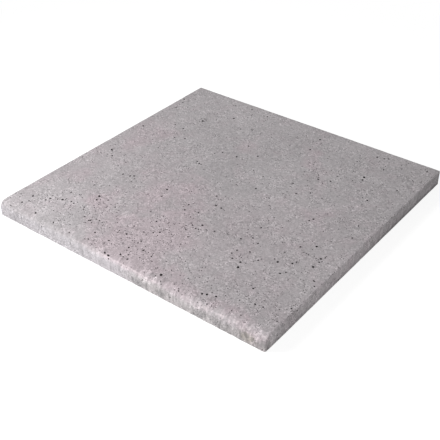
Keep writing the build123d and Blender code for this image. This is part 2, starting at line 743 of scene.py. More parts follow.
    def build_placed(self) -> bpy.types.NodeTree:
        """Builds the tree for pores whose place and size come with their points.

        Returns:
            The tree.
        """
        graph, given = new_group(
            "Placed Hollows", TreeKind.GEOMETRY,
            {"Geometry": SocketKind.SHAPE, "Facets": 3, "Material": SocketKind.MATERIAL},
            {"Balls": SocketKind.SHAPE},
        )
        points = graph.add("GeometryNodeMeshToPoints", {"Mesh": given["Geometry"]})
        facing = graph.stored("facing", "FLOAT_VECTOR")
        upright = graph.add("FunctionNodeAlignRotationToVector", {"Vector": facing}, axis="Z")
        balls = graph.add("GeometryNodeGroup", node_tree=self.cutters, inputs={
            "Points": points.outputs[0], "Facing": facing,
            "Turn": graph.turned(upright.outputs[0], graph.vector(z=graph.stored("turn"))),
            "Radius": graph.stored("half_width"), "Stretch": graph.stored("stretch"),
            "Facets": given["Facets"],
        })
        graph.finish(balls.outputs[0], given["Material"], "Balls")
        return graph.tree


def run_tree(
    obj: bpy.types.Object, tree: bpy.types.NodeTree, values: dict[str, object], name: str
) -> bpy.types.Mesh:
    """Runs a geometry tree on an object and takes the result as a plain mesh.

    Args:
        obj: The object that the tree starts from.
        tree: The tree.
        values: The tree's inputs by name.
        name: The new mesh's name.

    Returns:
        The finished mesh.
    """
    modifier = obj.modifiers.new(tree.name, "NODES")
    modifier.node_group = tree
    sockets = {item.name: item.identifier for item in tree.interface.items_tree if item.in_out == "INPUT"}
    for label, value in values.items():
        modifier[sockets[label]] = value
    mesh = finished_mesh(obj, name)
    obj.modifiers.remove(modifier)
    return mesh


def finished_mesh(obj: bpy.types.Object, name: str) -> bpy.types.Mesh:
    """Takes an object's evaluated shape as a plain mesh.

    Args:
        obj: The object with its modifiers.
        name: The new mesh's name.

    Returns:
        The mesh.
    """
    bpy.context.view_layer.update()
    mesh = bpy.data.meshes.new_from_object(obj.evaluated_get(bpy.context.evaluated_depsgraph_get()))
    mesh.name = name
    return mesh


def triangles(mesh: bpy.types.Mesh) -> int:
    """Counts the triangles that the faces of a mesh make."""
    return sum(len(face.vertices) - 2 for face in mesh.polygons)


def island_of(start: bmesh.types.BMFace, reached: set[bmesh.types.BMFace]) -> list[bmesh.types.BMFace]:
    """Collects the faces that hang together with one face.

    Args:
        start: The first face.
        reached: Every face met so far, which grows here.

    Returns:
        The island's faces.
    """
    island = [start]
    reached.add(start)
    for face in island:
        for edge in face.edges:
            for other in edge.link_faces:
                if other not in reached:
                    reached.add(other)
                    island.append(other)
    return island


def drop_slivers(mesh: bpy.types.Mesh) -> int:
    """Makes a cut mesh clean triangles: no tiny edges, no back-to-back faces and no loose bits.

    Args:
        mesh: The mesh.

    Returns:
        How many loose bits were deleted beside the one large body.
    """
    cut = bmesh.new()
    cut.from_mesh(mesh)
    bmesh.ops.dissolve_degenerate(cut, edges=cut.edges, dist=SHORTEST_EDGE)
    bmesh.ops.triangulate(cut, faces=cut.faces)
    by_corners: dict[frozenset, list[bmesh.types.BMFace]] = {}
    for face in cut.faces:
        by_corners.setdefault(frozenset(face.verts), []).append(face)
    back_to_back = [face for faces in by_corners.values() if len(faces) > 1 for face in faces]
    bmesh.ops.delete(cut, geom=back_to_back, context="FACES")
    reached: set[bmesh.types.BMFace] = set()
    islands = [island_of(face, reached) for face in cut.faces if face not in reached]
    islands.sort(key=len)
    slivers = [face for island in islands[:-1] for face in island]
    bmesh.ops.delete(cut, geom=slivers, context="FACES")
    unused = [corner for corner in cut.verts if not corner.link_faces]
    bmesh.ops.delete(cut, geom=unused, context="VERTS")
    cut.to_mesh(mesh)
    cut.free()
    return len(islands) - 1


def linked(name: str, data: bpy.types.ID) -> bpy.types.Object:
    """Makes an object and puts it in the scene.

    Args:
        name: The object's name.
        data: Its mesh, lamp or camera.

    Returns:
        The object.
    """
    obj = bpy.data.objects.new(name, data)
    bpy.context.scene.collection.objects.link(obj)
    return obj


def emptied(owner: bpy.types.ID) -> NodeGraph:
    """Clears the node tree of a material or a world.

    Args:
        owner: The material or the world.

    Returns:
        The graph of its empty tree.
    """
    owner.use_nodes = True
    owner.node_tree.nodes.clear()
    return NodeGraph(owner.node_tree)


@dataclass(frozen=True)
class Relief:
    """How far the stone's skin lies inside its plain form, and how the form wavers, in metres."""

    skin: Cloud = Cloud(32 * MM, 2.0, 0.55, Span(0.3, 0.7))
    nose: Cloud = Cloud(11 * MM, 3.0, 0.55, Span(0.32, 0.68))
    ragged: Cloud = Cloud(8 * MM, 2.0, 0.55, Span(0.38, 0.66))
    skin_depth: float = 0.28 * MM
    nose_depth: float = 0.6 * MM
    ragged_depth: float = 0.35 * MM
    nose_reach: float = 16 * MM
    bed_fade: float = 3 * MM
    lip_height: float = 0.1 * MM
    bed_facing: float = -0.95

    def sizes(self) -> dict[str, float]:
        """The sizes that the tree takes, by the name of its input."""
        return {
            "Skin Size": self.skin.size, "Skin Depth": self.skin_depth,
            "Nose Size": self.nose.size, "Nose Depth": self.nose_depth, "Nose Reach": self.nose_reach,
            "Ragged Size": self.ragged.size, "Ragged Depth": self.ragged_depth,
        }

    def build_tree(self, shape: SlabShape) -> bpy.types.NodeTree:
        """Builds the tree that makes the plain form slightly uneven, always inward.

        Args:
            shape: The form it works on.

        Returns:
            The tree.
        """
        graph, given = new_group(
            "Stone Relief", TreeKind.GEOMETRY,
            {"Geometry": SocketKind.SHAPE, **self.sizes(), "Material": SocketKind.MATERIAL},
            {"Stone": SocketKind.SHAPE},
        )
        place = graph.add("GeometryNodeInputPosition").outputs[0]
        normal = graph.add("GeometryNodeInputNormal").outputs[0]
        from_pool, height = graph.parts(place)[1], graph.parts(place)[2]
        depths = []
        for label, cloud in (("Skin", self.skin), ("Nose", self.nose), ("Ragged", self.ragged)):
            wave = graph.over(graph.noise(place, cloud, given[f"{label} Size"]), cloud.span)
            depths.append(graph.product(wave, given[f"{label} Depth"]))
        reach = graph.maths("ADD", given["Nose Reach"], shape.low.y)
        near_nose = graph.ramp(from_pool, shape.low.y, reach, 1.0, 0.0)
        inward = graph.product(graph.total(depths[0], graph.product(depths[1], near_nose)), -1.0)
        moved = graph.parts(graph.scaled(normal, inward))
        above_bed = graph.ramp(height, shape.low.z, shape.low.z + self.bed_fade)
        low_down = graph.maths("LESS_THAN", height, shape.low.z + self.lip_height)
        lip = graph.product(low_down, graph.maths("LESS_THAN", self.bed_facing, graph.parts(normal)[2]))
        lifted = graph.product(depths[2], lip, near_nose)
        upward = graph.total(graph.product(moved[2], above_bed), lifted)
        uneven = graph.add("GeometryNodeSetPosition", {
            "Geometry": given["Geometry"], "Offset": graph.vector(moved[0], moved[1], upward),
        })
        graph.finish(uneven.outputs[0], given["Material"], "Stone")
        return graph.tree


@dataclass(frozen=True)
class StoneLook:
    """Colours of the cast stone, how strongly each shows, and the painted shade in its pores and pin holes.
    """

    grey: Colour = (0.396, 0.373, 0.382)
    pink: Colour = (0.416, 0.360, 0.380)
    ochre: Colour = (0.430, 0.385, 0.330)
    nose_cool: Colour = (0.395, 0.375, 0.391)
    nose_drab: Colour = (0.398, 0.375, 0.377)
    cement: Colour = (0.215, 0.206, 0.210)
    crust: Colour = (0.600, 0.535, 0.550)
    ochre_share: float = 0.5
    cement_share: float = 0.65
    crust_share: float = 0.8
    grain_contrast: float = 0.69
    # How far the grain's pin holes darken the colour: painted shade.
    pinhole_shade: float = 0.8
    # The walls of cut hollows are darkened to this share of the skin: painted shade.
    pore_shade: float = 0.15
    roughness: float = 0.85
    rougher_grain: float = 0.06
    gloss: float = 0.25
    bump_strength: float = 0.5
    bump_height: float = 0.35 * MM


class SoftPatches:
    """One shared group for a soft oval patch, and the way to add many of them up."""

    rim: Span = Fade(0.45, 1.35)

    def __init__(self, left: float) -> None:
        """Builds the group.

        Args:
            left: The stone's left end, where from_left is counted from.
        """
        self.left = left
        graph, given = new_group(
            "Soft Patch", TreeKind.SHADER,
            dict.fromkeys(("Place", "Centre", "Turn", "Size"), SocketKind.VECTOR),
            {"Mask": SocketKind.NUMBER},
        )
        local = graph.add("ShaderNodeMapping", {
            "Vector": given["Place"], "Location": given["Centre"],
            "Rotation": given["Turn"], "Scale": given["Size"],
        }, vector_type="TEXTURE")
        flat = graph.vector_maths("MULTIPLY", local.outputs[0], (1.0, 1.0, 0.0))
        mask = graph.over(graph.vector_maths("LENGTH", flat), self.rim)
        graph.add("NodeGroupOutput", {"Mask": mask})
        self.tree = graph.tree

    def add_up(self, graph: NodeGraph, place: Signal, patches: tuple[Patch, ...], base: float) -> Signal:
        """Adds several patches up.

        Args:
            graph: The tree they go into.
            place: The place that is read.
            patches: The patches.
            base: Where from_nose is counted from, in metres.

        Returns:
            The sum of their masks.
        """
        masks = []
        for patch in patches:
            centre = (self.left + patch.from_left * MM, base + patch.from_nose * MM, 0.0)
            spot = graph.add("ShaderNodeGroup", node_tree=self.tree, inputs={
                "Place": place, "Centre": centre, "Turn": (0.0, 0.0, patch.turn * DEGREE),
                "Size": (patch.length * MM, patch.width * MM, 1.0),
            })
            masks.append(graph.product(spot.outputs[0], patch.strength))
        return graph.total(0.0, *masks)


@dataclass(frozen=True)
class PatchySkin:
    """The stone's large, soft changes of colour and shade."""

    stir: Cloud = Cloud(70 * MM, 4.0, 0.6)
    colour_stir: float = 90 * MM
    shade_stir: float = 35 * MM
    pink_cloud: Cloud = Cloud(55 * MM, 4.0, 0.6, Span(0.3, 0.6, 0.35, 1.1))
    pink_fleck: Cloud = Cloud(28 * MM, 3.0, 0.6, Span(0.45, 0.75, 0.0, 0.35))
    drift: Cloud = Cloud(50 * MM, 4.0, 0.6, reach=0.25)
    patch_shade: float = 0.045
    pink: tuple[Patch, ...] = (
        Patch(235, 70, 75, 85, 0, 1.0), Patch(205, 172, 62, 60, 20, 0.9), Patch(330, 130, 50, 90, 0, 0.12),
        Patch(120, 100, 28, 32, 0, 0.7), Patch(160, 210, 60, 35, 30, 0.35), Patch(45, 300, 38, 62, 10, 0.6),
        Patch(205, 370, 22, 22, 0, 0.5), Patch(330, 385, 90, 16, -52, 0.5), Patch(410, 270, 18, 26, 0, 0.45),
        Patch(455, 12, 60, 18, 0, 0.9), Patch(30, 130, 20, 22, 0, 0.5), Patch(430, 120, 170, 200, 0, 0.22),
        Patch(60, 150, 110, 160, 0, 0.2), Patch(170, 50, 35, 50, 30, 0.6), Patch(310, 10, 75, 26, 0, 0.9),
    )
    light: tuple[Patch, ...] = (
        Patch(365, 340, 100, 110, 20, 0.5), Patch(425, 418, 22, 22, 0, 0.8), Patch(70, 385, 24, 20, 0, 0.7),
        Patch(130, 115, 22, 22, 0, 0.7), Patch(370, 88, 22, 20, 0, 0.7), Patch(75, 75, 42, 36, 0, 2.2),
        Patch(150, 475, 120, 40, 0, 1.3), Patch(365, 478, 75, 34, 0, 1.5),
        Patch(130, 430, 50, 32, 0, 0.7), Patch(375, 372, 28, 28, 0, 0.9), Patch(75, 172, 28, 28, 0, 1.1),
        Patch(22, 75, 26, 30, 0, 1.1), Patch(175, 75, 26, 30, 0, 1.1), Patch(120, 118, 36, 30, 0, 0.7),
        Patch(175, 475, 26, 26, 0, 0.9), Patch(225, 120, 28, 38, 0, 0.9), Patch(250, 65, 50, 28, 0, 0.7),
        Patch(60, 50, 60, 50, 0, 0.6),
    )
    dark: tuple[Patch, ...] = (
        Patch(215, 305, 36, 52, 0, 1.2), Patch(435, 65, 72, 42, 0, 0.8), Patch(300, 20, 90, 14, 0, 0.4),
        Patch(320, 175, 75, 50, 0, 1.1), Patch(375, 125, 35, 30, 0, 0.8), Patch(482, 40, 36, 52, 0, 1.1),
        Patch(440, 270, 32, 32, 0, 0.8), Patch(75, 325, 28, 28, 0, 1.0), Patch(125, 250, 28, 48, 0, 0.9),
        Patch(250, 245, 50, 38, 0, 0.7), Patch(150, 375, 50, 26, 0, 0.7), Patch(425, 172, 30, 26, 0, 0.7),
    )

    def build(self, soft: SoftPatches, look: StoneLook, shape: SlabShape) -> bpy.types.NodeTree:
        """Builds the shader group.

        Args:
            soft: The way to add patches.
            look: The stone's colours.
            shape: The stone's plain form, for the place of its pool side.

        Returns:
            The group.
        """
        graph, given = new_group(
            "Stone Patches", TreeKind.SHADER, {"Place": SocketKind.VECTOR},
            {"Colour": SocketKind.COLOUR, "Shade": SocketKind.NUMBER},
        )
        place, pool_side = given["Place"], shape.low.y
        stir = graph.stir(place, self.stir)
        loose, steady = (graph.shifted(place, stir, reach) for reach in (self.colour_stir, self.shade_stir))
        pink = soft.add_up(graph, loose, self.pink, pool_side)
        pink = graph.product(pink, graph.clouds(place, self.pink_cloud))
        pink = graph.maths("ADD", pink, graph.clouds(place, self.pink_fleck), clamp=True)
        light, dark = (soft.add_up(graph, steady, patches, pool_side) for patches in (self.light, self.dark))
        lighter = graph.product(graph.maths("SUBTRACT", light, dark), self.patch_shade)
        graph.add("NodeGroupOutput", {
            "Colour": graph.mixed(pink, look.grey, look.pink),
            "Shade": graph.total(1.0, lighter, graph.swing(place, self.drift)),
        })
        return graph.tree


@dataclass(frozen=True)
class SandGrain:
    """The sand in the skin, the painted shade of its pin holes and dark dots, and its glints. Sizes inside a
    cell are in cell widths.
    """

    patchy: Cloud = Cloud(16 * MM, 2.0, 0.5, Span(0.38, 0.6, 0.6, 1.18))
    grit: float = 2.6 * MM
    sand: float = 1.3 * MM
    fine: Cloud = Cloud(2.4 * MM, 2.0, 0.6)
    coarse: Cloud = Cloud(7.0 * MM, 3.0, 0.6)
    grit_share: float = 0.5
    sand_share: float = 0.25
    fine_share: float = 1.2
    coarse_share: float = 0.2
    bend: Cloud = Cloud(1.8 * MM, 2.0, 0.6)
    bend_reach: float = 1.5 * MM
    pin_cell: float = 3.2 * MM
    pin_rarity: float = 2.0
    pin_width: float = 0.23
    pin_rim: float = 0.22
    rim_light: float = 0.25
    rim_from: Span = Span(0.05, 0.12)
    dot_cell: float = 3.3 * MM
    dot_width: Span = Span(0.1, 1.0, 0.13, 0.33)
    dot_edge: tuple[float, float] = (0.7, 1.15)
    dot_dark: float = 0.78
    halo_start: float = 1.1
    halo_width: float = 0.26
    halo_light: float = 0.32
    level: float = 0.97
    glint_cell: float = 3.6 * MM
    glint_rarity: float = 3.0
    glint_width: float = 0.31
    glint_light: float = 0.1
    core: float = 0.6
    soft_edge: float = 0.01
    fine_height: float = 0.6
    grit_height: float = 0.25
    pin_height: float = 1.2

    def build(self) -> bpy.types.NodeTree:
        """Builds the shader group.

        Returns:
            The group.
        """
        graph, given = new_group(
            "Sand Grain", TreeKind.SHADER, {"Place": SocketKind.VECTOR, "Contrast": 0.25},
            {"Shade": SocketKind.NUMBER, "Height": SocketKind.NUMBER, "Holes": SocketKind.NUMBER},
        )
        place = given["Place"]
        patchy = graph.clouds(place, self.patchy)
        grit, sand = (graph.cells(place, size)[1] for size in (self.grit, self.sand))
        fine, coarse = graph.noise(place, self.fine), graph.noise(place, self.coarse)
        tones = (
            (grit[0], self.grit_share), (sand[0], self.sand_share),
            (fine, self.fine_share), (coarse, self.coarse_share),
        )
        tone = graph.total(*(graph.centred(value, share) for value, share in tones))
        shade = graph.total(1.0, graph.product(tone, given["Contrast"], patchy))
        bent = graph.shifted(place, graph.stir(place, self.bend), self.bend_reach)

        def speck(
            where: object, size: float, draw: int, rarity: float, width: float
        ) -> tuple[Signal, Signal]:
            """Adds a field of specks, few of them large.

            Args:
                where: The place that is read.
                size: How far apart they are.
                draw: Which of a cell's random numbers sets the speck's width.
                rarity: How rare the large ones are.
                width: How wide the largest is.

            Returns:
                The distance from the speck's middle, and the speck's own width.
            """
            apart, draws = graph.cells(where, size)
            rare = graph.maths("POWER", draws[draw], rarity)
            return apart, graph.product(rare, graph.product(patchy, width))

        def filled(apart: Signal, width: Signal, strength: float) -> Signal:
            """Adds the filled middle of a speck, and how strong it is there."""
            core, edge = graph.product(width, self.core), graph.total(width, self.soft_edge)
            return graph.ramp(apart, core, edge, strength, 0.0)

        # Pin holes: dark spots that are painted shade of tiny holes, with a paler rim, and a dent in the
        # height.
        from_pin, pin_width = speck(bent, self.pin_cell, 1, self.pin_rarity, self.pin_width)
        pins = filled(from_pin, pin_width, 1.0)
        rim = graph.ramp(from_pin, pin_width, graph.total(pin_width, self.pin_rim), self.rim_light, 0.0)
        rim = graph.product(rim, graph.over(pin_width, self.rim_from))
        glints = speck(place, self.glint_cell, 2, self.glint_rarity, self.glint_width)
        glint = filled(*glints, self.glint_light)
        # Dark dots: painted shade of tiny pits, each with a paler ring round it.
        from_dot, draws = graph.cells(bent, self.dot_cell)
        reach = graph.product(graph.over(draws[0], self.dot_width), patchy)
        dot = graph.ramp(from_dot, *(graph.product(reach, times) for times in self.dot_edge), 1.0, 0.0)
        halo_span = graph.product(reach, self.halo_start), graph.total(reach, self.halo_width)
        halo = graph.ramp(from_dot, *halo_span, self.halo_light, 0.0)
        darker = graph.product(dot, graph.product(patchy, self.dot_dark))
        dotted = graph.maths("SUBTRACT", graph.product(halo, patchy), darker)
        lighter = graph.total(1.0, graph.total(rim, glint))
        shade = graph.product(shade, lighter, graph.total(self.level, dotted))
        raised = graph.product(grit[1], self.grit_height)
        height = graph.total(graph.product(fine, self.fine_height), raised, coarse)
        height = graph.maths("SUBTRACT", height, graph.product(pins, self.pin_height))
        graph.add("NodeGroupOutput", {"Shade": shade, "Height": height, "Holes": pins})
        return graph.tree


@dataclass(frozen=True)
class NoseZone:
    """One part of the nose: spans along it, in millimetres from its left end, and round it, in degrees."""

    along: tuple[Span, ...] = ()
    around: tuple[Span, ...] = ()


@dataclass(frozen=True)
class NoseSkin:
    """The paler skin of the nose, partly painted light, with painted highlights and painted shade on its
    round, its lime crust, flecks, stains and streaks.
    """

    back_fade: float = 4 * MM
    wander: Cloud = Cloud(16 * MM, 4.0, 0.65, reach=0.7)
    slow_wander: Cloud = Cloud(30 * MM, 3.0, 0.6, reach=0.3)
    rough: Span = Span(190, 290)
    upper_share: Span = Span(170, 215, 0.28, 0.5)
    upper: Span = Fade(38, 49)
    lower: Span = Fade(0, 36)
    # The paler band of the nose: partly a paler skin, partly painted light on the round.
    pale: Span = Span(60, 140, 0.22, 0.9)
    lit_lift: float = 0.16
    foot: Span = Fade(8, 32)
    foot_dark: float = 0.01
    fleck: Cloud = Cloud(4.2 * MM, 3.0, 0.65, Span(0.47, 0.59))
    fleck_stretch: Triple = (0.55, 1.0, 1.0)
    fleck_lumps: Cloud = Cloud(38 * MM, 1.0, 0.5, Span(0.38, 0.56, 0.35, 1.15))
    fleck_band: NoseZone = NoseZone(around=(Span(6, 27), Fade(46, 64)))
    fleck_corner: NoseZone = NoseZone((Span(464, 478, 0.0, 0.55),), (Fade(45, 60),))
    fleck_share: Span = Span(360, 402)
    line_drop: Span = Span(180, 320, 6, 0)
    line: NoseZone = NoseZone((Span(135, 205, 0.0, 0.85), Fade(300, 335)), (Span(35, 40), Fade(42, 48)))
    line_gaps: Cloud = Cloud(13 * MM, 2.0, 0.5, Span(0.36, 0.56, 0.4, 0.7))
    streak: Cloud = Cloud(5.0 * MM, 3.0, 0.6, reach=1.4)
    streak_stretch: Triple = (1.0, 0.2, 0.2)
    streak_share: Span = Span(190, 290, 0.6, 1.0)
    # Painted shade over the middle of the nose's round, where it faces the lamps most.
    round_shade_from: Span = Span(60, 140, 5, 42)
    round_shade_rise: float = 9.0
    round_shade: NoseZone = NoseZone((Span(170, 230, 0.08, 0.032),), (Fade(72, 95),))
    strip_ahead: Span = Span(8, 15)
    strip_behind: Span = Span(22, 52, 0.1, 0.0)
    strip_share: Span = Span(150, 430, 1.0, 0.1)
    # Painted highlights: the lower round made lighter in the middle of the nose, and a lighter band higher on
    # the round.
    lit_band: NoseZone = NoseZone((Span(185, 205, 0.0, 0.08), Fade(295, 330)), (Fade(38, 50),))
    ridge_highlight: NoseZone = NoseZone((Span(180, 205), Span(310, 335, 0.09, 0.0)), (Span(18, 29), Fade(42, 52)))
    far_end: NoseZone = NoseZone((Span(415, 450, 0.0, 0.15),), (Fade(30, 44),))
    stain_stir: Cloud = Cloud(7 * MM, 3.0, 0.6)
    stain_reach: float = 9 * MM
    line_reach: float = 3 * MM
    blotch: Cloud = Cloud(11 * MM, 3.0, 0.6, Span(0.5, 0.68))
    blotch_stretch: Triple = (1.0, 0.5, 0.5)
    blotch_low: Span = Span(5, 30, 0.62, 0.0)
    plain_drop: Span = Span(300, 380, 0, 22)
    plain: Span = Span(12, 48, 0.85, 0.0)
    drab: Span = Span(240, 300)
    edge_paste: NoseZone = NoseZone((Span(170, 205, 0.1, 0.55),), (Span(27, 34), Fade(50, 62)))
    front_paste: NoseZone = NoseZone((Span(165, 200, 0.0, 0.45), Fade(255, 285)), (Fade(34, 40),))
    stains: tuple[Patch, ...] = (
        Patch(26, 7, 26, 4, 0, 0.22), Patch(283, 6, 13, 7, 0, 1.0), Patch(300, 7, 5, 8, 0, 0.8),
        Patch(325, 7, 5, 7, 0, 0.9), Patch(394, 7, 9, 8, 0, 0.9), Patch(424, 7, 4, 8, 0, 0.8),
        Patch(433, 4, 8, 4, 0, 0.5), Patch(488, 3, 6, 3, 0, 0.7),
    )
    drips: tuple[Patch, ...] = (
        Patch(395, 10, 1.1, 8, 4, 1.0), Patch(460, 9, 1.2, 10, -3, 1.0), Patch(330, 6, 1.0, 6, -8, 0.7),
        Patch(412, 8, 0.9, 7, 8, 0.7), Patch(440, 8, 0.9, 8, -5, 0.7),
    )
    ochre: tuple[Patch, ...] = (Patch(472, 10, 13, 8, 0, 1.0),)

    def build(self, soft: SoftPatches, shape: SlabShape) -> bpy.types.NodeTree:
        """Builds the shader group.

        Args:
            soft: The way to add patches.
            shape: The stone's plain form, for the place of its nose.

        Returns:
            The group.
        """
        labels = ("Shade", "Crust", "Stain", "Ochre", "Plain", "Drab", "Paste")
        graph, given = new_group(
            "Nose Skin", TreeKind.SHADER, {"Place": SocketKind.VECTOR},
            dict.fromkeys(labels, SocketKind.NUMBER),
        )
        place = given["Place"]
        spot = graph.parts(place)
        centre_y, centre_z = shape.low.y + shape.nose_radius, shape.high.z - shape.nose_radius
        outward = graph.product(graph.maths("SUBTRACT", spot[1], centre_y), -1.0)
        angle = graph.maths("ARCTAN2", graph.maths("SUBTRACT", spot[2], centre_z), outward)
        turned = graph.total(angle, graph.swing(place, self.wander))
        steady = graph.total(angle, graph.swing(place, self.slow_wander))
        on_nose = graph.ramp(spot[1], centre_y, centre_y + self.back_fade, 1.0, 0.0)

        def along(span: Span, unit: float = 1.0) -> Signal:
            """Adds a number that changes along the nose, its two ends counted in a unit."""
            counted = replace(span, low=span.low * unit, high=span.high * unit)
            return graph.over(spot[0], counted, MM, shape.low.x)

        def around(span: Span, value: Signal = turned) -> Signal:
            """Adds a number that changes round the nose, read from an angle."""
            return graph.over(value, span, DEGREE)

        def zone(part: NoseZone, value: Signal = turned) -> Signal:
            """Adds a mask for one part of the nose, the product of its spans."""
            lengths = (along(span) for span in part.along)
            return graph.product(*lengths, *(around(span, value) for span in part.around))

        def patched(patches: tuple[Patch, ...], spot_read: Signal) -> Signal:
            """Adds patches of the nose's front, counted up from the bed, to 1 at most."""
            masks = soft.add_up(graph, spot_read, patches, shape.low.z)
            return graph.maths("MULTIPLY", masks, on_nose, clamp=True)

        rough, upper_share = along(self.rough), along(self.upper_share)
        lower_share = graph.rest_of(upper_share)
        # Paler band on the nose: partly paler skin, partly painted light.
        pale_lit_zone = graph.total(
            graph.product(around(self.upper), upper_share), graph.product(around(self.lower), lower_share)
        )
        pale = graph.product(pale_lit_zone, along(self.pale), on_nose, self.lit_lift)
        foot = graph.product(around(self.foot), rough, self.foot_dark)
        # Painted shade over the middle of the round.
        round_shade_from = along(self.round_shade_from, DEGREE)
        round_shade_rise = graph.ramp(turned, round_shade_from, graph.total(round_shade_from, self.round_shade_rise * DEGREE))
        round_shade = graph.product(round_shade_rise, zone(self.round_shade), on_nose)
        upright = graph.vector_maths("MULTIPLY", place, self.streak_stretch)
        streaks = graph.product(graph.swing(upright, self.streak), on_nose, along(self.streak_share))
        strip = graph.product(
            *(graph.over(spot[1], span, MM, shape.low.y) for span in (self.strip_ahead, self.strip_behind)),
            along(self.strip_share),
        )
        # Painted highlights along the round.
        lit_band, ridge_highlight, far_end = (
            graph.product(zone(part), on_nose) for part in (self.lit_band, self.ridge_highlight, self.far_end)
        )
        shade = graph.product(
            *(graph.total(1.0, lighter) for lighter in (pale, streaks, strip, lit_band, ridge_highlight)),
            *(graph.rest_of(darker) for darker in (foot, round_shade, far_end)),
        )

        lying = graph.vector_maths("MULTIPLY", place, self.fleck_stretch)
        flecked = graph.maths("MAXIMUM", zone(self.fleck_band), zone(self.fleck_corner))
        flecks = graph.product(
            graph.clouds(lying, self.fleck), flecked,
            along(self.fleck_share), graph.clouds(place, self.fleck_lumps),
        )
        raised = graph.maths("SUBTRACT", steady, along(self.line_drop, DEGREE))
        line = graph.product(zone(self.line, raised), graph.clouds(lying, self.line_gaps))
        crust = graph.maths("MULTIPLY", graph.maths("MAXIMUM", flecks, line), on_nose, clamp=True)

        front = graph.vector(spot[0], spot[2])
        stir = graph.stir(place, self.stain_stir)
        loose, near = (graph.shifted(front, stir, reach) for reach in (self.stain_reach, self.line_reach))
        tall = graph.vector_maths("MULTIPLY", place, self.blotch_stretch)
        blotches = graph.product(graph.clouds(tall, self.blotch), around(self.blotch_low), rough, on_nose)
        stain = graph.maths("MAXIMUM", patched(self.stains, loose), patched(self.drips, near))
        stain = graph.maths("MAXIMUM", stain, blotches)

        sunk = graph.total(turned, along(self.plain_drop, DEGREE))
        paste = graph.maths("MAXIMUM", zone(self.edge_paste), zone(self.front_paste))
        results = (
            shade, crust, stain, patched(self.ochre, loose), graph.product(around(self.plain, sunk), on_nose),
            along(self.drab), graph.product(paste, on_nose),
        )
        graph.add("NodeGroupOutput", dict(zip(labels, results)))
        return graph.tree


@dataclass(frozen=True)
class SideSkin:
    """The coarser, streaked skin of the two ends and the back, with painted light that falls off from the
    pool side and painted shade near the bed.

    Heights are in millimetres above the bed, and the rest is in millimetres from the pool side.
    """

    rim: tuple[float, float] = (2.0 * MM, 0.6 * MM)
    waver: Cloud = Cloud(9 * MM, 3.0, 0.6, reach=4 * MM)
    # Painted shade low on the sides, near the bed.
    low_shade_band: tuple[Span, ...] = (Fade(3.0, 7.5), Span(220, 300, 0.15, 0.34))
    high_band: tuple[Span, ...] = (Fade(11.5, 15), Span(250, 290), Span(360, 410, 0.09, 0.0))
    brim: tuple[Span, ...] = (Span(21, 23.5), Span(250, 400, 0.03, 0.12))
    # Painted light: the sides made lighter overall, and less so towards the back.
    front: tuple[Span, ...] = (Span(50, 150, 1.23, 1.235), Span(230, 470, 0.0, -0.205))
    mottle: Cloud = Cloud(8 * MM, 4.0, 0.6, reach=1.3)
    mottle_stretch: Triple = (1.0, 1.0, 0.5)

    def build(self, shape: SlabShape) -> bpy.types.NodeTree:
        """Builds the shader group.

        Args:
            shape: The stone's plain form, for the place of its ends and back.

        Returns:
            The group.
        """
        graph, given = new_group(
            "Side Skin", TreeKind.SHADER, {"Place": SocketKind.VECTOR}, {"Shade": SocketKind.NUMBER}
        )
        place = given["Place"]
        spot = graph.parts(place)
        outward = graph.maths("MAXIMUM", graph.maths("ABSOLUTE", spot[0]), spot[1])
        on_side = graph.ramp(outward, *(shape.high.x - inset for inset in self.rim))
        wavy = graph.total(spot[2], graph.swing(place, self.waver))

        def band(height: Signal, spans: tuple[Span, ...]) -> Signal:
            """Adds a band along the side: one span over the height, the rest from the pool side."""
            lengths = (graph.over(spot[1], span, MM, shape.low.y) for span in spans[1:])
            return graph.product(graph.over(height, spans[0], MM, shape.low.z), *lengths)

        # Painted shade near the bed, a darker band low in the middle, and painted light falling off from the
        # pool side.
        bands = graph.total(band(wavy, self.low_shade_band), band(wavy, self.high_band))
        front = graph.total(*(graph.over(spot[1], span, MM, shape.low.y) for span in self.front))
        front = graph.total(front, band(spot[2], self.brim))
        upright = graph.vector_maths("MULTIPLY", place, self.mottle_stretch)
        shade = graph.total(graph.maths("SUBTRACT", front, bands), graph.swing(upright, self.mottle))
        kept = graph.total(graph.rest_of(on_side), graph.product(shade, on_side))
        graph.add("NodeGroupOutput", {"Shade": kept})
        return graph.tree


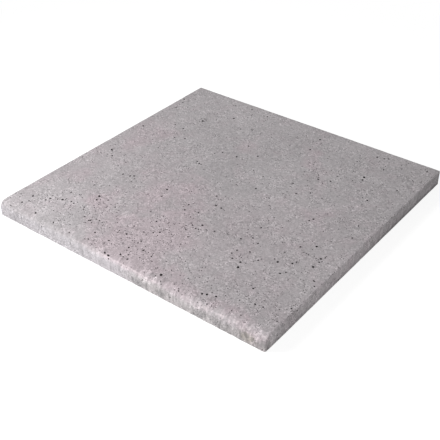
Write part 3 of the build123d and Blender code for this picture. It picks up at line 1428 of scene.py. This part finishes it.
class StoneShading:
    """The shader groups shared by the stone's skin and the walls of its pores."""

    def __init__(self, look: StoneLook, shape: SlabShape) -> None:
        """Builds the groups.

        Args:
            look: The colours.
            shape: The stone's plain form.
        """
        soft = SoftPatches(shape.low.x)
        self.look = look
        self.patches = PatchySkin().build(soft, look, shape)
        self.grain = SandGrain().build()
        self.nose = NoseSkin().build(soft, shape)
        self.sides = SideSkin().build(shape)

    def material(self, name: str, level: float = 1.0) -> bpy.types.Material:
        """Builds the skin's material, or the darker one inside a pore, which is painted shade.

        Args:
            name: The material's name.
            level: How light it is, as a share of the skin; below 1 it paints shade.

        Returns:
            The material.
        """
        look = self.look
        material = bpy.data.materials.new(name)
        graph = emptied(material)
        place = graph.add("ShaderNodeTexCoord").outputs["Object"]
        patches, grain, nose, sides = (
            graph.add("ShaderNodeGroup", {"Place": place}, node_tree=tree)
            for tree in (self.patches, self.grain, self.nose, self.sides)
        )
        grain.inputs["Contrast"].default_value = look.grain_contrast
        patches, grain, nose, sides = (node.outputs for node in (patches, grain, nose, sides))
        front = graph.mixed(nose["Drab"], look.nose_cool, look.nose_drab)
        colour = graph.mixed(nose["Plain"], patches["Colour"], front)
        for label, share, paint in (
            ("Ochre", look.ochre_share, look.ochre), ("Stain", look.cement_share, look.cement),
            ("Crust", look.crust_share, look.crust),
        ):
            colour = graph.mixed(graph.product(nose[label], share), colour, paint)
        sand = graph.product(graph.maths("SUBTRACT", grain["Shade"], 1.0), graph.rest_of(nose["Paste"]))
        # The grain's pin holes darken the colour: painted shade.
        pinhole_shaded = graph.rest_of(graph.product(grain["Holes"], look.pinhole_shade))
        shade = graph.product(
            patches["Shade"], graph.total(1.0, sand), nose["Shade"], sides["Shade"], pinhole_shaded, level
        )
        bump = graph.add("ShaderNodeBump", {
            "Strength": look.bump_strength, "Distance": look.bump_height, "Height": grain["Height"],
        })
        rougher = graph.product(grain["Height"], look.rougher_grain)
        shader = graph.add("ShaderNodeBsdfPrincipled", {
            "Base Color": graph.scaled(colour, shade), "Roughness": graph.total(look.roughness, rougher),
            "Specular IOR Level": look.gloss, "Normal": bump.outputs[0],
        })
        graph.add("ShaderNodeOutputMaterial", {0: shader.outputs[0]})
        return material


@dataclass
class CopingStone:
    """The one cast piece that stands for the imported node."""

    name: str = "cast_slab"
    pore_swell: float = 1.25
    finer_skin: float = 1.6
    relief: Relief = field(default_factory=Relief)
    look: StoneLook = field(default_factory=StoneLook)
    hollows: tuple[HollowSizes, ...] = (
        HollowSizes(
            HollowKind.BUBBLE, per_square_metre=1400.0, smallest=0.75 * MM, largest=1.4 * MM, rarity=2.2,
            stretch=1.7, twins=0.15, clumping=0.6, side_share=0.3, facets=2, seed=7,
        ),
        HollowSizes(
            HollowKind.PINHOLE, per_square_metre=8000.0, smallest=0.42 * MM, largest=0.85 * MM, rarity=1.5,
            stretch=1.6, twins=0.15, clumping=0.5, side_share=0.4, facets=1, seed=26, pointed=True,
        ),
        HollowSizes(
            HollowKind.CHIP, per_square_metre=30000.0, smallest=0.4 * MM, largest=1.3 * MM, rarity=2.5,
            stretch=2.4, twins=0.0, clumping=0.4, side_share=1.0, facets=1, seed=31,
        ),
    )

    def build(self) -> bpy.types.Object:
        """Makes the piece.

        Small hollows are scattered over a coarse form and cut from a finer one of the same shape.

        Returns:
            The finished piece, with plain mesh data and its two materials.
        """
        low, high = (Vector(corner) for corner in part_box(NODE))
        shape = SlabShape(low, high)
        shading = StoneShading(self.look, shape)
        skin = shading.material("cast_stone")
        # The walls of every cut hollow get the skin darkened: painted shade inside pores and chips.
        wall = shading.material("pore_wall_shade", self.look.pore_shade)
        piece = linked(self.name, shape.mesh("plain_form"))
        relief_tree = self.relief.build_tree(shape)
        relief_inputs = {**self.relief.sizes(), "Material": skin}
        piece.data = run_tree(piece, relief_tree, relief_inputs, "coarse_form")
        trees = HollowTrees(wall, low)
        cutters = [self.scattered(piece, trees, sizes) for sizes in self.hollows]
        cutters.append(self.placed(shape, trees))
        piece.data = shape.finer(self.finer_skin).mesh("plain_form")
        piece.data = run_tree(piece, relief_tree, relief_inputs, "uneven_form")
        for cutter in cutters:
            self.cut(piece, cutter)
        bits = drop_slivers(piece.data)
        log.info("%s: %d slivers dropped", self.name, bits)
        piece.data.shade_smooth()
        piece.data.set_sharp_from_angle(angle=SHARP_FROM)
        return piece

    def cut(self, piece: bpy.types.Object, cutter: bpy.types.Object) -> None:
        """Cuts one kind of hollow from the piece, and removes the cutter.

        Args:
            piece: The stone.
            cutter: An object with all the balls.
        """
        hollow = piece.modifiers.new(cutter.name, "BOOLEAN")
        hollow.object = cutter
        hollow.operation = "DIFFERENCE"
        hollow.solver = "MANIFOLD"
        hollow.material_mode = "TRANSFER"
        mesh = finished_mesh(piece, self.name)
        piece.modifiers.remove(hollow)
        piece.data = mesh
        log.info("%s: cut, %d triangles now", cutter.name, triangles(mesh))
        bpy.data.objects.remove(cutter)

    @staticmethod
    def scattered(piece: bpy.types.Object, trees: HollowTrees, sizes: HollowSizes) -> bpy.types.Object:
        """Makes the balls of one kind of scattered hollow.

        Args:
            piece: The stone, before any hollow is cut.
            trees: The geometry trees.
            sizes: The kind's sizes and number.

        Returns:
            An object with all its balls.
        """
        inputs = {
            "Per Square Metre": sizes.per_square_metre, "Smallest": sizes.smallest, "Largest": sizes.largest,
            "Rarity": sizes.rarity, "Stretch": sizes.stretch, "Twins": sizes.twins,
            "Clumping": sizes.clumping, "Side Share": sizes.side_share,
            "Edges Only": float(sizes.kind is HollowKind.CHIP), "Facets": sizes.facets,
            "Pointed": sizes.pointed, "Seed": sizes.seed, "Material": trees.wall,
        }
        name = sizes.kind.value
        return linked(name, run_tree(piece, trees.scatter, inputs, name))

    def placed(self, shape: SlabShape, trees: HollowTrees) -> bpy.types.Object:
        """Makes the balls of the large pores that are placed one by one.

        Args:
            shape: The stone's plain form, for the direction that each pore faces.
            trees: The geometry trees.

        Returns:
            An object with all its balls.
        """
        name = HollowKind.LARGE.value
        points, facings = [], []
        for pore in LARGE_PORES:
            x, y = shape.low.x + pore.from_left * MM, shape.low.y + pore.from_nose * MM
            facing = Vector((0.0, 0.0, 1.0))
            z = shape.high.z
            if pore.from_nose * MM < shape.nose_radius:
                back = shape.nose_radius - pore.from_nose * MM
                z += math.sqrt(shape.nose_radius**2 - back**2) - shape.nose_radius
                facing = Vector((0.0, -back, z - shape.high.z + shape.nose_radius)).normalized()
            points.append((x, y, z))
            facings.append(facing)
        mesh = bpy.data.meshes.new(name)
        mesh.from_pydata(points, [], [])
        for label, values in {
            "half_width": [pore.width * self.pore_swell / 2 * MM for pore in LARGE_PORES],
            "stretch": [pore.stretch for pore in LARGE_PORES],
            "turn": [math.radians(pore.turn) for pore in LARGE_PORES],
        }.items():
            mesh.attributes.new(label, "FLOAT", "POINT").data.foreach_set("value", values)
        flat = [part for facing in facings for part in facing]
        mesh.attributes.new("facing", "FLOAT_VECTOR", "POINT").data.foreach_set("vector", flat)
        cutter = linked(name, mesh)
        cutter.data = run_tree(cutter, trees.placed, {"Material": trees.wall}, name)
        return cutter


@dataclass(frozen=True)
class Lamp:
    """One square soft lamp, aimed at the stone."""

    name: str
    place: Triple
    power: float
    size: float

    def build(self) -> None:
        """Makes the lamp."""
        data = bpy.data.lights.new(self.name, "AREA")
        data.shape = "SQUARE"
        data.size = self.size
        data.energy = self.power
        placed = linked(self.name, data)
        placed.location = self.place
        placed.rotation_euler = Vector(self.place).to_track_quat("Z", "Y").to_euler()


@dataclass
class Studio:
    """The floor, the soft lamps and the pale surroundings."""

    floor_size: float = 16.0
    floor_drop: float = 0.1 * MM
    shadow_reach: float = 0.48
    floor_colour: Colour = (0.6, 0.6, 0.6)
    seen_white: float = 0.8
    seen_colour: Colour = (0.35, 0.35, 0.35)
    sky: float = 0.29
    lamps: tuple[Lamp, ...] = (
        Lamp("key_soft_box", (-1.106, -1.022, 0.91), power=33.0, size=0.7),
        Lamp("fill_soft_box", (1.393, -1.299, 1.1), power=14.0, size=1.2),
    )

    def build(self) -> None:
        """Makes the floor, the lamps and the world."""
        self.build_floor()
        for lamp in self.lamps:
            lamp.build()
        self.build_world()

    @staticmethod
    def seen_directly(graph: NodeGraph) -> Signal:
        """Adds the test for rays that show the background itself.

        Args:
            graph: The material's or world's tree.

        Returns:
            1 for camera, mirror and see-through rays, and 0 for rays that light.
        """
        path = graph.add("ShaderNodeLightPath").outputs
        seen = graph.maths("MAXIMUM", path["Is Camera Ray"], path["Is Glossy Ray"])
        return graph.maths("MAXIMUM", seen, path["Is Transmission Ray"])

    def build_floor(self) -> None:
        """Makes the pale floor just under the stone."""
        half = self.floor_size / 2
        corners = [(x * half, y * half, -self.floor_drop) for x, y in ((-1, -1), (1, -1), (1, 1), (-1, 1))]
        mesh = bpy.data.meshes.new("studio_floor")
        mesh.from_pydata(corners, [], [(0, 1, 2, 3)])
        floor = linked("studio_floor", mesh)
        material = bpy.data.materials.new("pale_floor")
        graph = emptied(material)
        place = graph.add("ShaderNodeTexCoord").outputs["Object"]
        near = graph.over(graph.vector_maths("LENGTH", place), Fade(1, 2), self.shadow_reach)
        lit = graph.add("ShaderNodeBsdfDiffuse", {0: rgba(self.floor_colour)})
        seen = graph.add("ShaderNodeBsdfDiffuse", {0: graph.scaled(self.seen_colour, near)})
        glow = graph.add("ShaderNodeEmission", {
            0: WHITE, 1: graph.rest_of(graph.product(near, 1.0 - self.seen_white)),
        })
        both = graph.add("ShaderNodeAddShader", {0: seen.outputs[0], 1: glow.outputs[0]})
        shader = graph.add("ShaderNodeMixShader", {
            0: self.seen_directly(graph), 1: lit.outputs[0], 2: both.outputs[0],
        })
        graph.add("ShaderNodeOutputMaterial", {0: shader.outputs[0]})
        mesh.materials.append(material)

    def build_world(self) -> None:
        """Makes the even light from all round, white where it is seen."""
        world = bpy.data.worlds.new("studio")
        bpy.context.scene.world = world
        graph = emptied(world)
        lit, seen = (
            graph.add("ShaderNodeBackground", {0: WHITE, 1: strength}) for strength in (self.sky, 1.0)
        )
        shader = graph.add("ShaderNodeMixShader", {
            0: self.seen_directly(graph), 1: lit.outputs[0], 2: seen.outputs[0],
        })
        graph.add("ShaderNodeOutputWorld", {0: shader.outputs[0]})


@dataclass(frozen=True)
class PhotoCamera:
    """The camera at the photograph's viewing angle."""

    lens: float = 68.119
    location: Triple = (0.66463, -0.89161, 0.74144)
    azimuth: float = 37.202
    elevation: float = 35.164
    roll: float = 0.314
    nearest: float = 0.05
    farthest: float = 50.0

    def build(self) -> None:
        """Makes the camera and sets it as the scene's."""
        data = bpy.data.cameras.new("photo_camera")
        data.lens = self.lens
        data.clip_start = self.nearest
        data.clip_end = self.farthest
        camera = linked("photo_camera", data)
        turn = Matrix.Rotation(math.radians(self.azimuth), 4, "Z")
        tilt = Matrix.Rotation(math.radians(90 - self.elevation), 4, "X")
        roll = Matrix.Rotation(math.radians(self.roll), 4, "Z")
        camera.matrix_world = Matrix.Translation(self.location) @ turn @ tilt @ roll
        bpy.context.scene.camera = camera


def main() -> None:
    """Builds the camera, the studio and the stone, in that order."""
    logging.basicConfig(level=logging.INFO, format="%(name)s: %(message)s")
    bpy.context.scene.view_settings.view_transform = "Standard"
    PhotoCamera().build()
    log.info("camera: at the photograph's angle")
    Studio().build()
    log.info("studio: floor, two lamps and world")
    piece = CopingStone().build()
    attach(piece, BODY)
    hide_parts(NODE)
    log.info("%s: %d triangles, rides on %s", piece.name, triangles(piece.data), BODY)


if __name__ == "__main__":
    main()
